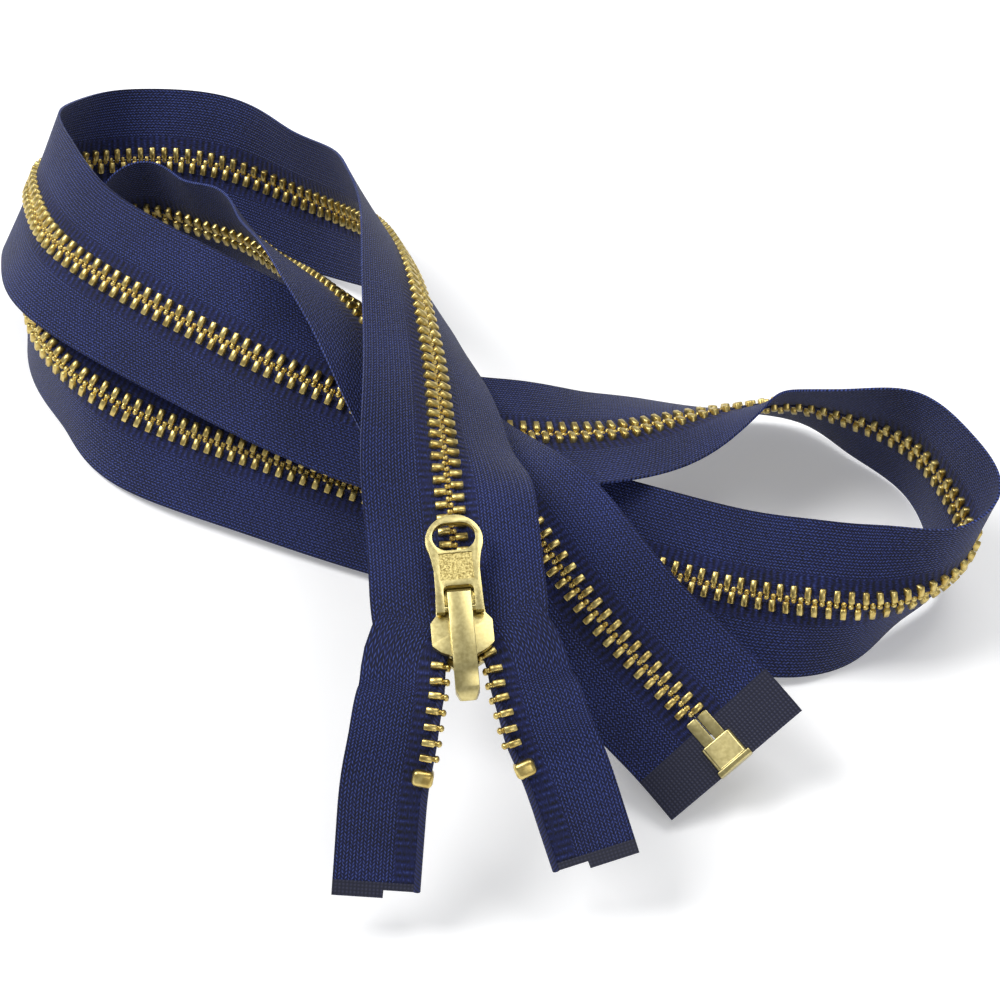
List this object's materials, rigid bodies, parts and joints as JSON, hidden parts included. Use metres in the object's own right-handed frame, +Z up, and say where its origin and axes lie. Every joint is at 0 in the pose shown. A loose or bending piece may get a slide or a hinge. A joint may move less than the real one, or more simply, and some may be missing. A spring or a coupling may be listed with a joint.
{
  "type": "zipper",
  "caption": "Open-end metal zipper with two woven tapes, brass teeth, auto-lock slider with pull tab, top stops and separating pin and box, laid in loose curls",
  "frame": {"origin": "centre of the footprint, on the surface that the zipper lies on", "axes": "+Z up and the shortest extent, +X to the right and +Y away from the free tails"},
  "size_m": [0.21, 0.2114, 0.0564],
  "materials": {
    "tape": "navy woven polyester tape",
    "film": "dark reinforcing film",
    "tooth_brass": "polished golden brass",
    "slider_brass": "satin golden brass",
    "steel": "plain spring steel"
  },
  "bodies": {
    "chain": {"insertion_pin": "slider_brass", "left_closed_teeth": "tooth_brass", "left_end_film": "film", "left_open_teeth": "tooth_brass", "left_tail_film": "film", "left_tape_01": "tape", "left_tape_02": "tape", "left_tape_03": "tape", "left_tape_04": "tape", "left_tape_05": "tape", "left_tape_06": "tape", "left_tape_07": "tape", "left_tape_08": "tape", "left_tape_09": "tape", "left_tape_10": "tape", "left_tape_11": "tape", "left_tape_12": "tape", "left_tape_tail": "tape", "left_top_stop": "tooth_brass", "left_working_teeth": "tooth_brass", "retainer_box": "slider_brass", "retainer_pin": "slider_brass", "right_closed_teeth": "tooth_brass", "right_end_film": "film", "right_open_teeth": "tooth_brass", "right_tail_film": "film", "right_tape_01": "tape", "right_tape_02": "tape", "right_tape_03": "tape", "right_tape_04": "tape", "right_tape_05": "tape", "right_tape_06": "tape", "right_tape_07": "tape", "right_tape_08": "tape", "right_tape_09": "tape", "right_tape_10": "tape", "right_tape_11": "tape", "right_tape_12": "tape", "right_tape_tail": "tape", "right_top_stop": "tooth_brass", "right_working_teeth": "tooth_brass"},
    "slider": {"slider_body": "slider_brass", "slider_cap": "slider_brass", "pawl_spring": "steel"},
    "pull_tab": {"pull_tab": "slider_brass"},
    "lock_pawl": {"lock_pawl": "steel"}
  },
  "joints": [
    {"name": "slider_travel", "type": "slide", "parent": "chain", "child": "slider", "axis": [-0.0922, 0.9636, 0.2511], "range_m": [0, 0.018], "deforming": ["left_working_teeth", "right_working_teeth"]},
    {"name": "pull_tab_swing", "type": "hinge", "parent": "slider", "child": "pull_tab", "pos_m": [-0.00073, -0.06727, 0.04587], "axis": [0.9957, 0.0892, 0.0232], "range_deg": [0, 140]},
    {"name": "lock_pawl_lift", "type": "hinge", "parent": "slider", "child": "lock_pawl", "pos_m": [0.00003, -0.07513, 0.04326], "axis": [0.9957, 0.0892, 0.0232], "range_deg": [0, 8]}
  ]
}
